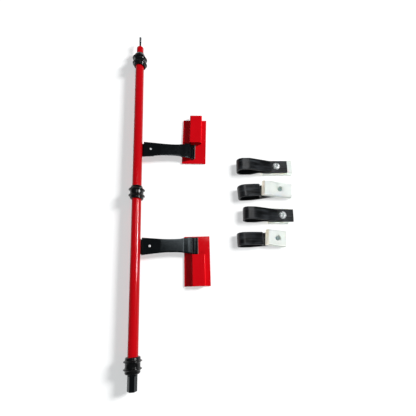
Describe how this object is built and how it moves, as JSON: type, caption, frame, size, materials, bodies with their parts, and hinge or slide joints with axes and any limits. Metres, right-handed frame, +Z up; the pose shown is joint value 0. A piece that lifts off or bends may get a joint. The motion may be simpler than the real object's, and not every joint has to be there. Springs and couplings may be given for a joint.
{
  "type": "steering wheel lock",
  "caption": "Locking bar with rubber cushions, swinging arms with channelled plates, a key-driven retracting pin at the nose, and rubber straps with blocks.",
  "frame": {"origin": "on the surface the lock lies on, below the centre of the middle cushion", "axes": "+Y along the bar towards the nose and its pin, +X towards the arms and straps, +Z up"},
  "size_m": [0.3607, 0.7988, 0.0361],
  "materials": {
    "red_paint": "glossy red paint",
    "black_paint": "satin black coat",
    "rubber": "moulded rubber with a slight sheen",
    "strap_rubber": "ribbed rubber",
    "block_plastic": "off-white moulded plastic",
    "bright_steel": "bright plated",
    "plain_steel": "plain steel",
    "key_brass": "plain brass",
    "nylon": "natural nylon"
  },
  "bodies": {
    "bar": {"bar_tube": "red_paint", "nose_plug": "red_paint", "nose_pins": "plain_steel", "guide_sleeve": "plain_steel", "hex_housing": "black_paint", "housing_pins": "plain_steel", "bottom_cushion": "rubber", "middle_cushion": "rubber", "top_cushion": "rubber", "lower_bush": "nylon", "middle_bush": "nylon", "upper_bush": "nylon", "upper_bracket": "black_paint", "upper_pivot_screw": "bright_steel", "upper_pivot_washer": "plain_steel", "upper_pivot_nut": "plain_steel", "lower_bracket": "black_paint", "lower_pivot_screw": "bright_steel", "lower_pivot_washer": "plain_steel", "lower_pivot_nut": "plain_steel"},
    "spindle": {"key_plug": "key_brass", "plug_clip": "plain_steel", "tailpiece": "plain_steel", "spindle_coupling": "plain_steel", "spindle": "plain_steel", "cam_head": "plain_steel"},
    "latch": {"latch_pin": "black_paint", "latch_tip": "plain_steel", "cross_pin": "plain_steel", "spring_collar": "plain_steel", "latch_spring": "plain_steel"},
    "upper_arm": {"upper_arm": "black_paint", "upper_arm_rivets": "black_paint", "upper_plate": "red_paint", "upper_channel": "red_paint"},
    "lower_arm": {"lower_arm": "black_paint", "lower_arm_rivets": "black_paint", "lower_plate": "red_paint", "lower_channel": "red_paint"},
    "strap_1": {"strap_1": "strap_rubber", "strap_1_screw": "plain_steel", "strap_1_cap": "bright_steel"},
    "block_1": {"strap_1_block": "block_plastic"},
    "strap_2": {"strap_2": "strap_rubber", "strap_2_screw": "plain_steel", "strap_2_cap": "bright_steel"},
    "block_2": {"strap_2_block": "block_plastic"},
    "strap_3": {"strap_3": "strap_rubber", "strap_3_screw": "plain_steel", "strap_3_cap": "bright_steel"},
    "block_3": {"strap_3_block": "block_plastic"},
    "strap_4": {"strap_4": "strap_rubber", "strap_4_screw": "plain_steel", "strap_4_cap": "bright_steel"},
    "block_4": {"strap_4_block": "block_plastic"}
  },
  "joints": [
    {"name": "key_turn", "type": "hinge", "parent": "bar", "child": "spindle", "pos_m": [0, -0.38, 0.0175], "axis": [0, 1, 0], "range_deg": [0, 90]},
    {"name": "latch_slide", "type": "slide", "parent": "bar", "child": "latch", "axis": [0, 1, 0], "range_m": [-0.011, 0], "deforming": ["latch_spring"]},
    {"name": "upper_arm_swing", "type": "hinge", "parent": "bar", "child": "upper_arm", "pos_m": [0.0287, 0.1035, 0.0154], "axis": [0, 0, 1], "range_deg": [-2.3, 8.7]},
    {"name": "lower_arm_swing", "type": "hinge", "parent": "bar", "child": "lower_arm", "pos_m": [0.0287, -0.117, 0.0154], "axis": [0, 0, 1], "range_deg": [-4.7, 6.3]},
    {"name": "strap_1_lift", "type": "slide", "parent": "bar", "child": "strap_1", "axis": [0, 0, 1], "range_m": [0, 0.1]},
    {"name": "block_1_turn", "type": "hinge", "parent": "strap_1", "child": "block_1", "pos_m": [0.307, 0.0497, 0.006], "axis": [0, 0, 1], "range_deg": [-22, 22]},
    {"name": "strap_2_lift", "type": "slide", "parent": "bar", "child": "strap_2", "axis": [0, 0, 1], "range_m": [0, 0.1]},
    {"name": "block_2_turn", "type": "hinge", "parent": "strap_2", "child": "block_2", "pos_m": [0.3089, -0.005, 0.0199], "axis": [0.1303, 0.0073, 0.9914], "range_deg": [-12.4, 31.6]},
    {"name": "strap_3_lift", "type": "slide", "parent": "bar", "child": "strap_3", "axis": [0, 0, 1], "range_m": [0, 0.1]},
    {"name": "block_3_turn", "type": "hinge", "parent": "strap_3", "child": "block_3", "pos_m": [0.3093, -0.0624, 0.006], "axis": [0, 0, 1], "range_deg": [-22, 22]},
    {"name": "strap_4_lift", "type": "slide", "parent": "bar", "child": "strap_4", "axis": [0, 0, 1], "range_m": [0, 0.1]},
    {"name": "block_4_turn", "type": "hinge", "parent": "strap_4", "child": "block_4", "pos_m": [0.2939, -0.1119, 0.0199], "axis": [0.1305, 0.0007, 0.9914], "range_deg": [-14.8, 29.2]}
  ],
  "couplings": [
    {"joint": "latch_slide", "follows": "key_turn", "m_per_rad": -0.0070028}
  ]
}
